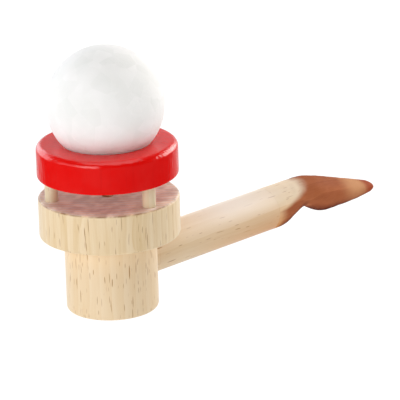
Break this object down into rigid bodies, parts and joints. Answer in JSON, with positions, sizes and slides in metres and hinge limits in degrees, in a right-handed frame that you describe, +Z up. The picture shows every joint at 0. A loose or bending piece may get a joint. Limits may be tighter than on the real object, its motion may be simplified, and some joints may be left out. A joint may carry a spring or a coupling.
{
  "type": "floating ball pipe toy",
  "caption": "Wooden blow pipe toy: an air jet from the bowl lifts a foam ball off the red seat ring, which stands on dowel posts above the flange.",
  "frame": {"origin": "middle of the barrel's flat base", "axes": "+Z up through the bowl's jet hole and the ball, +X along the stem towards the mouthpiece"},
  "size_m": [0.1362, 0.042, 0.0803],
  "materials": {
    "barrel_wood": "satin",
    "flange_wood": "satin",
    "dowel_wood": "satin",
    "red_lacquered_wood": "gloss",
    "stem_wood": "satin",
    "brown_stained_wood": "satin",
    "white_foam": "matte"
  },
  "bodies": {
    "pipe": {"barrel": "barrel_wood", "flange": "flange_wood", "post_1": "dowel_wood", "post_2": "dowel_wood", "post_3": "dowel_wood", "seat_ring": "red_lacquered_wood", "stem": "stem_wood", "mouthpiece": "brown_stained_wood"},
    "ball": {"ball": "white_foam"}
  },
  "joints": [
    {"name": "ball_lift", "type": "slide", "parent": "pipe", "child": "ball", "axis": [0, 0, 1], "range_m": [0, 0.08]}
  ]
}
